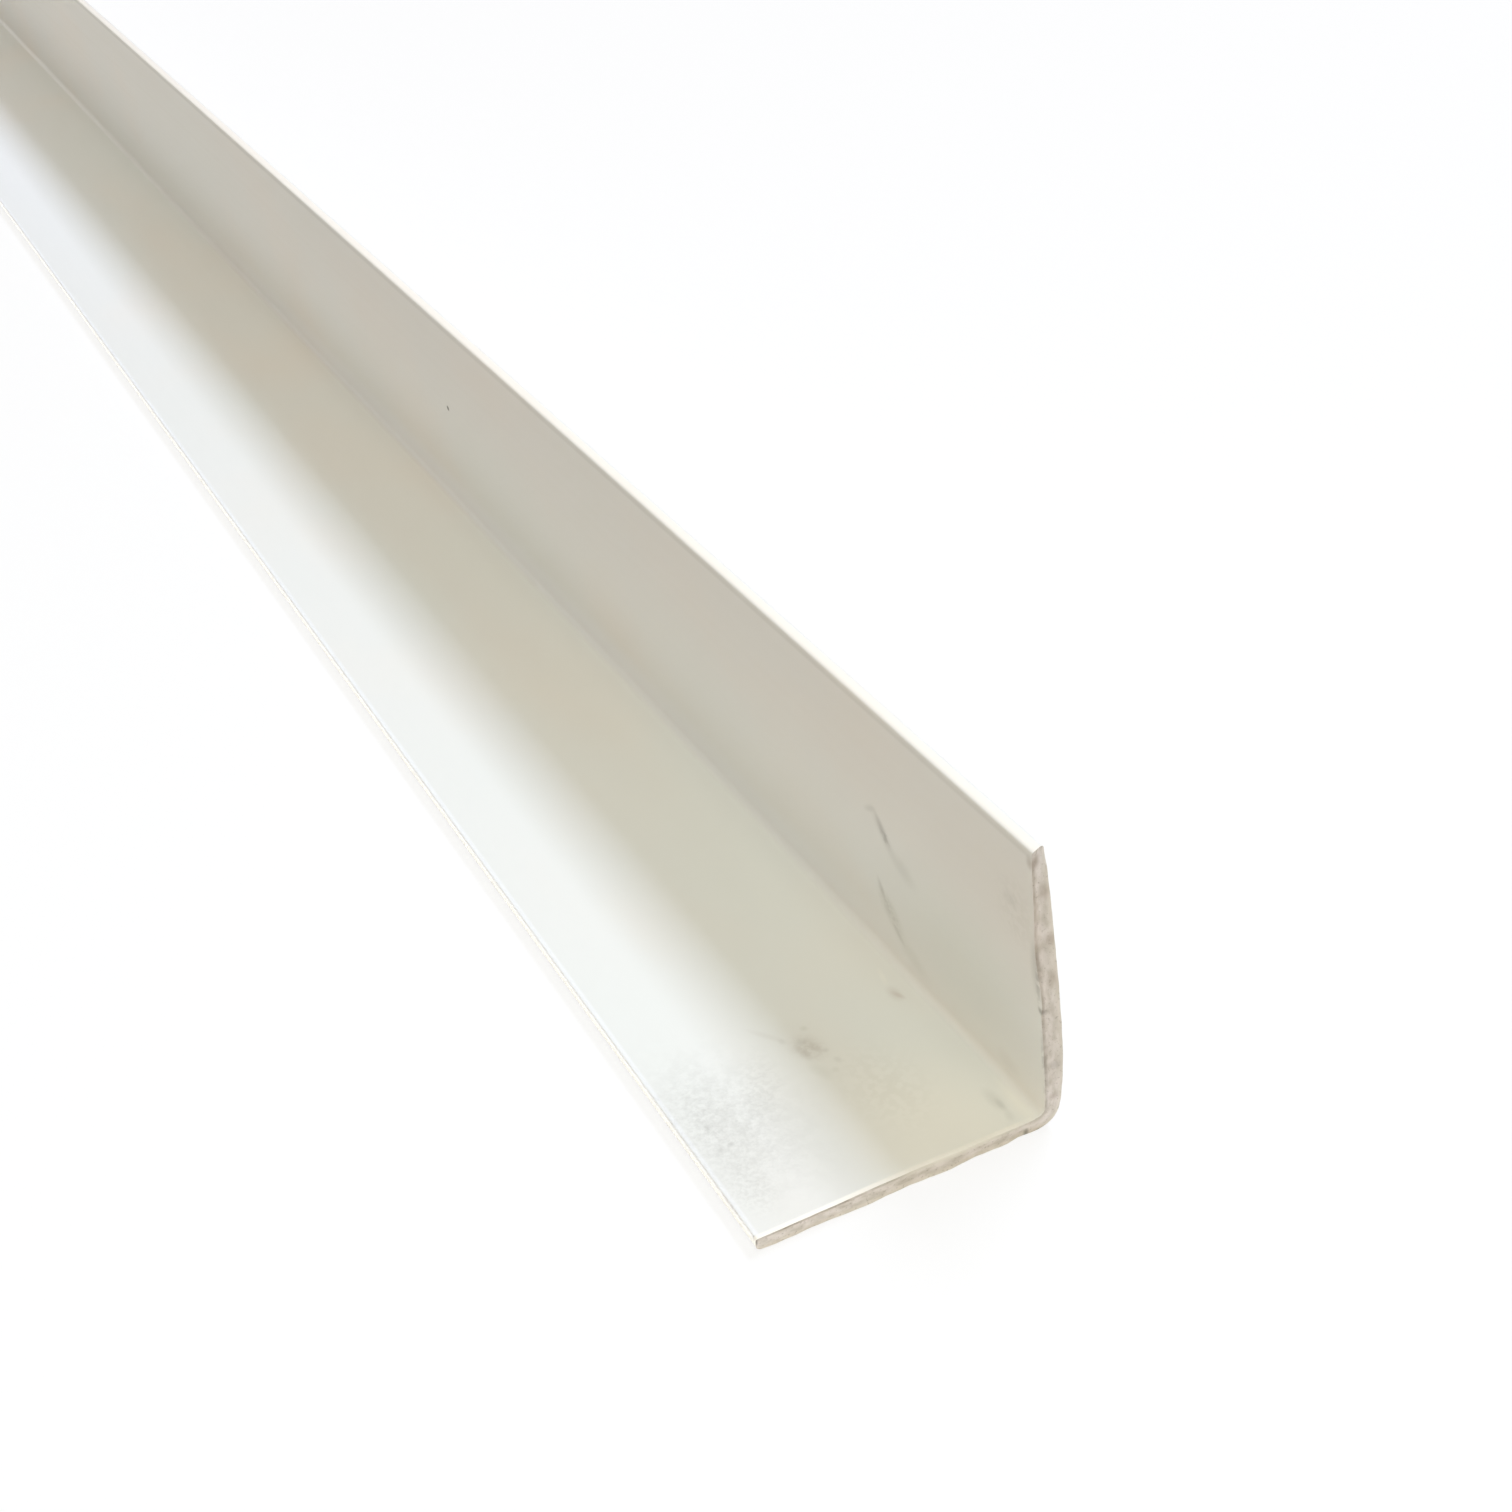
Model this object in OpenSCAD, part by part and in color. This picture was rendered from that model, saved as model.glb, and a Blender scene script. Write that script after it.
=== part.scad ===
// Rigid PVC corner angle: one length of extruded L section with equal legs.
// The flat leg lies on z = 0 and the upright leg stands along its +Y side.
// The length runs along X, centred on the origin, with the hand-sawn end at +X.

/* [Stock] */
// Length of the bar
bar_length = 1000; // [200:50:5000]
// Width of the flat leg over the outside, heel to toe
flat_leg = 50; // [20:1:120]
// Height of the upright leg over the outside, heel to toe
upright_leg = 50; // [20:1:120]
// Thickness of the wall, the same in both legs and round the corner
wall = 2.8; // [2:0.1:5]

/* [Edges] */
// Radius of the fillet inside the root
root_r = 1.5; // [0.5:0.1:5]
// Radius of the rounded edge on the outer side of each toe
toe_outer_r = 1.2; // [0.3:0.1:1.4]
// Radius of the crisp edge on the inner side of each toe
toe_inner_r = 0.3; // [0.1:0.1:0.5]

/* [Sawn end] */
// How far the flat leg's saw cut lies behind the upright leg's at the heel
flat_cut_back = 2.1; // [0:0.1:5]
// How far the flat leg's cut falls back from the heel to the toe
saw_drift_across = 0.2; // [0:0.1:3]
// How far the upright leg's cut falls back from the heel to the toe
saw_drift_up = 2.3; // [0:0.1:5]

/* [Hidden] */
$fn = 96;
pvc_white = "#F0F1EE";
// How far cutting shapes reach past the surfaces they cut
past = 1;
// The heel is concentric with the root fillet, so the wall turns the corner at one thickness
heel_r = root_r + wall;
heel_y = flat_leg / 2;
end_x = bar_length / 2;

// What rounding a convex corner takes off. The corner is at the origin, its material in +X and +Y.
module corner_waste(r) {
    difference() {
        translate([-past, -past])
            square(r + past);
        translate([r, r])
            circle(r = r);
    }
}

// What a fillet adds in a concave corner. The corner is at the origin, its walls along +X and +Y.
module corner_fill(r) {
    difference() {
        square(r);
        translate([r, r])
            circle(r = r);
    }
}

// One leg lying along +X from its heel at the origin: the wall's outer face is on y = 0
module leg(width) {
    difference() {
        square([width, wall]);
        translate([width, 0])
            mirror([1, 0])
                corner_waste(toe_outer_r);
        translate([width, wall])
            mirror([1, 0])
                mirror([0, 1])
                    corner_waste(toe_inner_r);
    }
}

// The L section with its heel at the origin and its legs along +X and +Y
module section() {
    difference() {
        union() {
            leg(flat_leg);
            mirror([1, -1])
                leg(upright_leg);
            translate([wall, wall])
                corner_fill(root_r);
        }
        corner_waste(heel_r);
    }
}

// The section drawn along the bar: its X becomes -Y from the heel's face, and its Y becomes Z
module extrusion() {
    translate([-end_x, heel_y, 0])
        rotate([90, 0, 90])
            linear_extrude(height = bar_length)
                mirror([1, 0])
                    section();
}

// Waste beyond the flat leg's cut, which also takes the heel up to where its rounding ends. The
// cut falls back from the heel towards the flat leg's toe.
module flat_cut_waste() {
    translate([end_x - flat_cut_back, heel_y, -past])
        rotate([0, 0, -atan(saw_drift_across / flat_leg)])
            translate([0, -flat_leg - 2 * past, 0])
                cube([flat_cut_back + saw_drift_across + past,
                      flat_leg + 4 * past,
                      heel_r + past]);
}

// Waste beyond the upright leg's cut. The cut touches the bar's full length where the heel's
// rounding ends and falls back from there towards the upright leg's toe.
module upright_cut_waste() {
    height = upright_leg - heel_r;
    translate([end_x, heel_y - wall - past, heel_r])
        rotate([0, -atan(saw_drift_up / height), 0])
            cube([saw_drift_up + past, wall + 2 * past, height + 2 * past]);
}

module corner_angle() {
    color(pvc_white)
        difference() {
            extrusion();
            flat_cut_waste();
            upright_cut_waste();
        }
}

corner_angle();
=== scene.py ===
"""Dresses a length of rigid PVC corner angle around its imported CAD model.

The bar lies along X, with its flat leg on the floor and its upright leg along the +Y side. The
end that was sawn by hand is at +X. Lengths are in metres, except in fields and constants that are
named or described as millimetres.
"""

import logging
import math
from dataclasses import dataclass, field
from enum import Enum

import bmesh
import bpy
from bmesh.types import BMEdge, BMesh, BMFace, BMVert
from bpy.types import Material, Node, NodeSocket, NodeTree, Object, World
from mathutils import Matrix, Vector, noise


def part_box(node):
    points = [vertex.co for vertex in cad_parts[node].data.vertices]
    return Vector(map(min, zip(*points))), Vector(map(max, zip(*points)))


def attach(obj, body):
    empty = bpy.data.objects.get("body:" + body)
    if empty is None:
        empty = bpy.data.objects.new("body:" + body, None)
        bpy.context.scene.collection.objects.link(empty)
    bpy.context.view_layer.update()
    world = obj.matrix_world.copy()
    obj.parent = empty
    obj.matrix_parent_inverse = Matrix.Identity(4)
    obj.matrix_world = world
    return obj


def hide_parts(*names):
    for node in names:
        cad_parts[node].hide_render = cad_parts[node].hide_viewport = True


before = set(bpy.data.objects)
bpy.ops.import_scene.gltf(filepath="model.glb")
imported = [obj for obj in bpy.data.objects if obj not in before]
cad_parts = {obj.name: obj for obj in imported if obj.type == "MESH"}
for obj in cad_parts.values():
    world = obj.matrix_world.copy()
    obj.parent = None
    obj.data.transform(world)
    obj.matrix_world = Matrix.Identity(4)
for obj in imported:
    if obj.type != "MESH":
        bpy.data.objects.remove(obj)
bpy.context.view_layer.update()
NODE = "corner_angle"
MM = 0.001

# Sockets of the colour form of the Mix node, which share their names with its other forms
MIX_A = 6
MIX_B = 7
MIX_RESULT = 2

log = logging.getLogger("corner_angle")

Colour = tuple[float, float, float, float]
Triple = tuple[float, float, float]


def linear(colour: str) -> Colour:
    """Turns an sRGB hex colour into the linear colour that a socket takes.

    Args:
        colour: The colour, written as #RRGGBB.

    Returns:
        Linear red, green and blue, and an alpha of 1.
    """
    parts = [int(colour[i:i + 2], 16) / 255 for i in (1, 3, 5)]
    return (*(c / 12.92 if c <= 0.04045 else ((c + 0.055) / 1.055) ** 2.4 for c in parts), 1.0)


def add_node(tree: NodeTree, kind: str, inputs: dict[str | int, object] | None = None,
             **settings: object) -> Node:
    """Adds one node to a tree, sets it up and links it.

    Args:
        tree: The node tree.
        kind: The node's type name.
        inputs: By name or place of an input, either the output that feeds it or its value.
        **settings: The node's own properties.

    Returns:
        The new node.
    """
    node = tree.nodes.new(kind)
    for name, value in settings.items():
        setattr(node, name, value)
    for key, value in (inputs or {}).items():
        if isinstance(value, NodeSocket):
            tree.links.new(value, node.inputs[key])
        else:
            node.inputs[key].default_value = value
    return node


def smooth_step(value: float) -> float:
    """Eases a value from 0 to 1 between its ends at 0 and 1."""
    value = min(1.0, max(0.0, value))
    return value * value * (3 - 2 * value)


class Leg(Enum):
    """The bar's two legs."""

    FLAT = "flat leg"
    UPRIGHT = "upright leg"


FLAT, UPRIGHT = Leg


@dataclass(frozen=True)
class CutPoint:
    """Where the hand-sawn cut lies at one place of the section, in millimetres.

    Attributes:
        leg: The leg that the place is on.
        at: The place's y on the flat leg, or its z on the upright leg.
        outer: How far back from the bar's full length the cut's outer edge lies.
        inner: How far back its inner edge lies.
    """

    leg: Leg
    at: float
    outer: float
    inner: float


@dataclass(frozen=True)
class Mark:
    """A smudge, scratch or speck, or a patch of painted light or shade, on the inner face of a leg,
    in millimetres.

    Attributes:
        leg: The leg that it is on.
        from_end: Distance of its middle from the bar's sawn end.
        at: The y of its middle on the flat leg, or its z on the upright leg.
        length: Its length.
        width: Its width.
        tone: The colour that it takes the plastic towards.
        strength: How much of that colour shows at its middle.
        turn: Its turn from the bar's length, in degrees, seen onto the face.
        edge: The share of its radius over which it fades out.
        grain: Size of the dots that break it up, or 0 for none.
        cover: The share of it that the dots cover.
        sunk: How deep its middle lies under the inner face, below 0 in the root's fillet.
    """

    leg: Leg
    from_end: float
    at: float
    length: float
    width: float
    tone: str
    strength: float
    turn: float = 0.0
    edge: float = 0.9
    grain: float = 0.0
    cover: float = 0.6
    sunk: float = 0.0

    # A mark whose middle is nearer to the end than this may reach the cut
    CUT_REACH = 4.0
    # Spread of the dots' noise round 0.5, and how far a dot's soft rim lies below and above
    NOISE_SPREAD = 0.16
    RIM_BELOW = 0.08
    RIM_ABOVE = 0.10

    @property
    def at_cut(self) -> bool:
        """Whether it reaches the sawn face."""
        return self.from_end < self.CUT_REACH

    def paint(self, tree: NodeTree, place: NodeSocket, colour: NodeSocket,
              bar: "CornerAngle") -> NodeSocket:
        """Draws the mark over a colour.

        Args:
            tree: The material's node tree.
            place: Object coordinates.
            colour: The colour under the mark.
            bar: The bar that places it.

        Returns:
            The colour with the mark.
        """
        middle, turn, reach = bar.mark_frame(self)
        local = add_node(tree, "ShaderNodeMapping", {
            "Vector": place, "Location": middle, "Rotation": turn, "Scale": reach},
            vector_type="TEXTURE")
        ball = add_node(tree, "ShaderNodeTexGradient", {"Vector": local.outputs["Vector"]},
                        gradient_type="SPHERICAL")
        mask = add_node(tree, "ShaderNodeMapRange", {
            "Value": ball.outputs["Fac"], "From Max": self.edge, "To Max": self.strength},
            interpolation_type="SMOOTHSTEP").outputs["Result"]
        if self.grain:
            dots = add_node(tree, "ShaderNodeTexNoise", {
                "Vector": place, "Scale": 1 / (self.grain * MM), "Detail": 2.0})
            level = 0.5 + self.NOISE_SPREAD * (0.5 - self.cover)
            shown = add_node(tree, "ShaderNodeMapRange", {
                "Value": dots.outputs["Fac"], "From Min": level - self.RIM_BELOW,
                "From Max": level + self.RIM_ABOVE}, interpolation_type="SMOOTHSTEP")
            mask = add_node(tree, "ShaderNodeMath", {0: mask, 1: shown.outputs["Result"]},
                            operation="MULTIPLY").outputs["Value"]
        mix = add_node(tree, "ShaderNodeMix", {0: mask, MIX_A: colour, MIX_B: linear(self.tone)},
                       data_type="RGBA")
        return mix.outputs[MIX_RESULT]


GREY_RUB = "#8E8C84"
BROWN_RUB = "#8A7560"
RED_RUB = "#A08070"
OLIVE_RUB = "#8C8A68"
DARK_RUB = "#5F5A50"
# Warm dust that is also painted shade, and a yellowed tone that is painted shade in places
DUST_AND_SHADE = "#8F8268"
AGED_AND_SHADE = "#D2A77F"
SUN_AGED = "#E6D08A"
GREEN_HAZE = "#C9CFB8"
# Pale tones: one for rubs and painted light, a cool one for painted light, and a cream one for a
# painted highlight
PALE_RUB_AND_LIGHT = "#FBF9F2"
COOL_PAINTED_LIGHT = "#F7F9FB"
CREAM_HIGHLIGHT = "#FEF8EE"

MARKS = (
    # Painted shade with some warm dust over the upright leg's upper half, darker towards its top,
    # and a thin grey line just under its top edge
    Mark(UPRIGHT, 300, 52, 2000, 68, DUST_AND_SHADE, 0.25, edge=1.0),
    Mark(UPRIGHT, 500, 49.2, 2400, 1.8, GREY_RUB, 0.24),
    # A painted highlight makes the top edge bright cream, and painted shade draws a thin dull line
    # along its outer rounding, stronger far from the cut
    Mark(UPRIGHT, 500, 50.3, 2400, 2.4, CREAM_HIGHLIGHT, 1.0, edge=0.6, sunk=1.2),
    Mark(UPRIGHT, 500, 49.5, 2400, 2, DUST_AND_SHADE, 0.14, edge=0.5, sunk=3.2),
    Mark(UPRIGHT, 850, 49.8, 1200, 3.2, DUST_AND_SHADE, 0.22, edge=1.0, sunk=2.0),
    # The upright leg has aged, a little brown near the cut and yellow far from it
    Mark(UPRIGHT, 120, 40, 800, 50, AGED_AND_SHADE, 0.07, edge=0.8),
    Mark(UPRIGHT, 800, 44, 1200, 70, SUN_AGED, 0.10, edge=0.7),
    # Painted light makes the flat leg pale beside its toe
    Mark(FLAT, 500, -24.9, 2400, 2.2, COOL_PAINTED_LIGHT, 1.0, edge=0.5),
    # Painted shade, a little yellow, darkens the shaded part of the flat leg, and painted shade
    # over the root's fillet dims its highlight
    Mark(FLAT, 330, 12, 560, 32, AGED_AND_SHADE, 0.10, edge=0.5),
    Mark(FLAT, 380, 21.8, 800, 2.6, DUST_AND_SHADE, 0.27, sunk=-0.45),
    # Painted light low on the upright leg and far along the lit part of the flat leg, with faint
    # painted shade at the edge of the flat leg's shadow between them
    Mark(UPRIGHT, 250, 5, 760, 13, COOL_PAINTED_LIGHT, 0.90, edge=1.0),
    Mark(FLAT, 190, -6.5, 420, 18, DUST_AND_SHADE, 0.05, edge=1.0),
    Mark(FLAT, 640, -14, 640, 44, COOL_PAINTED_LIGHT, 0.75, edge=1.0),
    # Near the cut, painted shade dulls the lit side of the flat leg and the edge of its shadow,
    # painted light brightens its shaded side and the foot of the upright leg, and painted shade
    # darkens the upright leg higher up
    Mark(FLAT, 0, -17, 84, 30, AGED_AND_SHADE, 0.07, edge=1.0),
    Mark(FLAT, 12, -8.5, 60, 18, DUST_AND_SHADE, 0.06, edge=1.0),
    Mark(FLAT, 2, 8, 64, 36, PALE_RUB_AND_LIGHT, 1.0, edge=0.8),
    Mark(UPRIGHT, 8, 2, 170, 26, PALE_RUB_AND_LIGHT, 1.0, edge=1.0),
    Mark(UPRIGHT, 0, 36, 90, 44, AGED_AND_SHADE, 0.09, edge=1.0),
    # Painted light makes the flat leg's toe face nearly white
    Mark(FLAT, 500, -25.3, 2400, 3, PALE_RUB_AND_LIGHT, 1.0, sunk=1.2),
    # Faint stains low on the upright leg
    Mark(UPRIGHT, 20, 18, 72, 34, GREEN_HAZE, 0.20, edge=1.0),
    Mark(UPRIGHT, 11.2, 6.3, 9, 5, RED_RUB, 0.06),
    # A dark streak along the root near the cut, and the rubbed streak beside it
    Mark(FLAT, 8.3, 18, 8.5, 3.2, DARK_RUB, 0.11, turn=2),
    Mark(FLAT, 7, 18.2, 4.4, 1.5, DARK_RUB, 0.13),
    Mark(FLAT, 4.2, 18, 3.8, 2, DARK_RUB, 0.08, turn=-11),
    Mark(FLAT, 5, 20.6, 20, 4.4, PALE_RUB_AND_LIGHT, 0.90, turn=-5),
    # A reddish smudge beside the root with a pale rub behind it
    Mark(FLAT, 38.3, 17.9, 6, 3, RED_RUB, 0.15),
    Mark(FLAT, 37.6, 18.2, 4, 1.4, RED_RUB, 0.18, turn=20),
    Mark(FLAT, 43, 18.3, 7, 1.4, PALE_RUB_AND_LIGHT, 0.40, turn=-12),
    # A brown comet: its haze, the soft strokes and dots in it, and the streak that leads to it
    Mark(FLAT, 36, 0.2, 16, 10, RED_RUB, 0.06, turn=15, edge=1.0),
    Mark(FLAT, 34.2, 0.2, 9.4, 6.6, BROWN_RUB, 0.10, turn=15),
    Mark(FLAT, 34.2, 0.2, 9.4, 6.6, BROWN_RUB, 0.11, turn=15, grain=0.9, cover=0.7),
    Mark(FLAT, 36, -0.1, 2.4, 2.8, DARK_RUB, 0.11),
    Mark(FLAT, 33.8, 1.2, 5, 1.8, BROWN_RUB, 0.12, turn=20),
    Mark(FLAT, 33.5, -0.9, 5.8, 1.9, BROWN_RUB, 0.17, turn=7),
    Mark(FLAT, 32.2, 2.3, 1.4, 1.4, DARK_RUB, 0.09),
    Mark(FLAT, 29.3, 2.8, 2.4, 1.6, DARK_RUB, 0.09, turn=17),
    Mark(FLAT, 27.4, 1.4, 2, 2, OLIVE_RUB, 0.07),
    Mark(FLAT, 38.7, 1.8, 2, 1.8, OLIVE_RUB, 0.11),
    Mark(FLAT, 37.8, -2.5, 2.4, 1.5, DARK_RUB, 0.09, turn=7),
    Mark(FLAT, 28.4, -0.7, 7.5, 3.2, OLIVE_RUB, 0.08, turn=16),
    Mark(FLAT, 40.4, -4, 10, 1.8, BROWN_RUB, 0.07, turn=33),
    # Faint mottling in the shade
    Mark(FLAT, 20, 6, 30, 18, OLIVE_RUB, 0.06, grain=1.2),
    # Fine grey scuffs over the lit part, the coarser ones in their middle and their darkest dots
    Mark(FLAT, 24, -18, 46, 26, GREY_RUB, 0.05, turn=6, edge=1.0),
    Mark(FLAT, 26, -16.5, 58, 32, GREY_RUB, 0.07, turn=4, grain=2.2, cover=0.5),
    Mark(FLAT, 25, -18, 50, 27, GREY_RUB, 0.08, turn=4, grain=1.2, cover=0.5),
    Mark(FLAT, 25, -18.5, 44, 24, GREY_RUB, 0.09, turn=4, grain=0.5, cover=0.5),
    Mark(FLAT, 27, -20.5, 30, 12, DARK_RUB, 0.08, turn=3, grain=0.9, cover=0.3),
    Mark(FLAT, 29, -11, 26, 11, GREY_RUB, 0.10, turn=-22, grain=0.9, cover=0.5),
    Mark(FLAT, 12, -21, 20, 10, GREY_RUB, 0.12, grain=0.7, cover=0.5),
    Mark(FLAT, 34.7, -18.7, 2.6, 2, DARK_RUB, 0.08),
    Mark(FLAT, 26.4, -20.7, 2.8, 1.6, DARK_RUB, 0.12),
    Mark(FLAT, 21.2, -19.4, 1.3, 1.5, DARK_RUB, 0.22),
    Mark(FLAT, 20.6, -21.1, 1.8, 1.6, DARK_RUB, 0.11),
    Mark(FLAT, 10.9, -25.2, 12, 1.2, BROWN_RUB, 0.30, turn=2, grain=0.8, cover=0.7),
    # The longer scratch on the upright leg: its hook, its whole length, its core and its tail
    Mark(UPRIGHT, 50.1, 30, 6, 1.8, DARK_RUB, 0.14, turn=27),
    Mark(UPRIGHT, 46.1, 27.4, 13, 4.4, DARK_RUB, 0.13, turn=-46),
    Mark(UPRIGHT, 46.5, 28.1, 8, 2.7, DARK_RUB, 0.24, turn=-50),
    Mark(UPRIGHT, 45.6, 27, 5, 3.4, DARK_RUB, 0.24, turn=-50, grain=0.7, cover=0.6),
    Mark(UPRIGHT, 40.5, 23.8, 11, 5.5, GREY_RUB, 0.14, turn=-16),
    # The shorter one below it: its top, the haze that it fades into, its lower line and its tail
    Mark(UPRIGHT, 48.4, 15.4, 6, 2.2, DARK_RUB, 0.20, turn=-63),
    Mark(UPRIGHT, 45.6, 12.2, 13, 6.4, OLIVE_RUB, 0.15, turn=-40),
    Mark(UPRIGHT, 46, 12.4, 12, 5.2, DARK_RUB, 0.12, turn=-44, grain=0.9, cover=0.5),
    Mark(UPRIGHT, 43.7, 9.2, 6.5, 1.9, DARK_RUB, 0.14, turn=-34),
    Mark(UPRIGHT, 39.6, 7.4, 13, 5.2, OLIVE_RUB, 0.09, turn=-14),
    # A smudge near the cut and a single speck far from it
    Mark(UPRIGHT, 7.8, 38.5, 6, 4, DARK_RUB, 0.09, turn=5),
    Mark(UPRIGHT, 6.5, 37, 15, 17, OLIVE_RUB, 0.07, grain=1.1, cover=0.6),
    Mark(UPRIGHT, 244.7, 28.2, 1.9, 1.5, DARK_RUB, 0.95, edge=0.6),
    # Dirt that the saw left along the upright leg's cut
    Mark(UPRIGHT, 1.9, 30.5, 3.4, 13, DARK_RUB, 0.22),
    Mark(UPRIGHT, 1.4, 27.5, 1.8, 11, DARK_RUB, 0.30, grain=0.9, cover=0.7),
    Mark(UPRIGHT, 1, 22.7, 1.6, 2.2, DARK_RUB, 0.55, turn=40),
    Mark(UPRIGHT, 1, 13, 1.2, 20, DARK_RUB, 0.24, grain=1.1, cover=0.5),
    Mark(UPRIGHT, 2.1, 48, 2.8, 3.6, BROWN_RUB, 0.55, sunk=0.6),
    # Brown stains on the cut itself, between its pits
    Mark(UPRIGHT, 1.6, 42.6, 2.4, 4, BROWN_RUB, 0.34, sunk=1.9),
    Mark(UPRIGHT, 1.2, 34.6, 2.4, 3.4, BROWN_RUB, 0.40, sunk=2.3),
    Mark(UPRIGHT, 0.8, 28, 2.4, 4.4, BROWN_RUB, 0.22, sunk=2.0),
    Mark(UPRIGHT, 0.6, 12.6, 2.4, 2.6, DARK_RUB, 0.26, sunk=1.7),
    Mark(UPRIGHT, 1.2, 6.4, 2.4, 2.4, BROWN_RUB, 0.30, sunk=1.5),
    # Dark specks at the toe and under the heel
    Mark(FLAT, 2.2, -25, 1.6, 1.1, DARK_RUB, 0.90, sunk=0.6),
    Mark(FLAT, 2.2, 19.4, 2, 1.3, DARK_RUB, 0.60, sunk=2.4),
)

CUT = (
    CutPoint(FLAT, -25.0, 2.3, 1.85),
    CutPoint(FLAT, -21.0, 2.25, 1.85),
    CutPoint(FLAT, -18.0, 2.2, 1.85),
    CutPoint(FLAT, -16.0, 2.35, 1.85),
    CutPoint(FLAT, -14.0, 2.25, 1.85),
    CutPoint(FLAT, -9.4, 2.0, 1.95),
    CutPoint(FLAT, -6.7, 1.9, 2.0),
    CutPoint(FLAT, -4.0, 2.1, 2.0),
    CutPoint(FLAT, -0.4, 2.15, 2.0),
    CutPoint(FLAT, 3.0, 2.0, 2.0),
    CutPoint(FLAT, 6.5, 1.75, 1.85),
    CutPoint(FLAT, 8.2, 2.0, 1.8),
    CutPoint(FLAT, 11.0, 2.1, 1.8),
    CutPoint(FLAT, 14.0, 2.0, 1.75),
    CutPoint(FLAT, 16.3, 1.95, 1.75),
    CutPoint(FLAT, 18.0, 2.3, 1.7),
    CutPoint(FLAT, 20.7, 2.1, 1.7),
    CutPoint(UPRIGHT, 4.3, 1.4, 1.2),
    CutPoint(UPRIGHT, 6.2, 0.9, 1.0),
    CutPoint(UPRIGHT, 10.0, 0.35, 0.8),
    CutPoint(UPRIGHT, 15.0, 0.0, 0.8),
    CutPoint(UPRIGHT, 19.5, 0.05, 0.9),
    CutPoint(UPRIGHT, 22.2, 0.15, 0.95),
    CutPoint(UPRIGHT, 23.9, 0.25, 0.6),
    CutPoint(UPRIGHT, 27.0, 0.4, 0.85),
    CutPoint(UPRIGHT, 29.0, 0.5, 1.4),
    CutPoint(UPRIGHT, 31.8, 0.8, 1.8),
    CutPoint(UPRIGHT, 34.5, 1.05, 1.9),
    CutPoint(UPRIGHT, 38.0, 1.3, 1.7),
    CutPoint(UPRIGHT, 41.0, 1.6, 1.65),
    CutPoint(UPRIGHT, 44.0, 1.95, 1.7),
    CutPoint(UPRIGHT, 46.0, 2.2, 1.7),
    CutPoint(UPRIGHT, 47.5, 2.6, 1.6),
    CutPoint(UPRIGHT, 48.5, 2.8, 1.55),
    CutPoint(UPRIGHT, 49.3, 2.8, 1.45),
    CutPoint(UPRIGHT, 50.0, 2.7, 1.4),
)


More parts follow.
